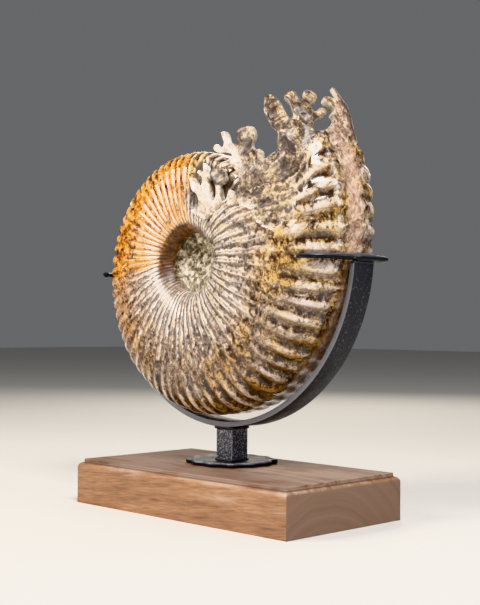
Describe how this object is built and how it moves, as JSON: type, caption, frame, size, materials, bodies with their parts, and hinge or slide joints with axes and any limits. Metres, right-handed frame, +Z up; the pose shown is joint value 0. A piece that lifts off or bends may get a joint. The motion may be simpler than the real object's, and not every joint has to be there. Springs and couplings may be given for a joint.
{
  "type": "fossil ammonite on stand",
  "caption": "Polished ribbed ammonite fossil with free branching suture lobes, held upright in a half-ring steel cradle on a wooden block.",
  "frame": {"origin": "middle of the wooden block's underside", "axes": "+Z up, +X along the block, -Y towards the side that shows the fossil's flank. The shell's coiling axis is parallel to Y"},
  "size_m": [0.3083, 0.143, 0.3696],
  "materials": {
    "polished_fossil_shell": "polished stone, amber to cream and grey brown",
    "cradle_band_steel": "blackened forged steel, satin",
    "foot_plate_steel": "blackened steel, glossy with a worn bright rim",
    "left_claw_steel": "blackened forged steel, semi-gloss",
    "post_steel": "blackened steel, finely hammered",
    "right_claw_steel": "blackened forged steel, semi-gloss",
    "limed_wood": "pale limed wood, matt"
  },
  "bodies": {
    "root": {"ammonite": "polished_fossil_shell", "cradle_band": "cradle_band_steel", "foot_plate": "foot_plate_steel", "left_claw": "left_claw_steel", "post": "post_steel", "right_claw": "right_claw_steel", "wooden_base": "limed_wood"}
  },
  "joints": []
}
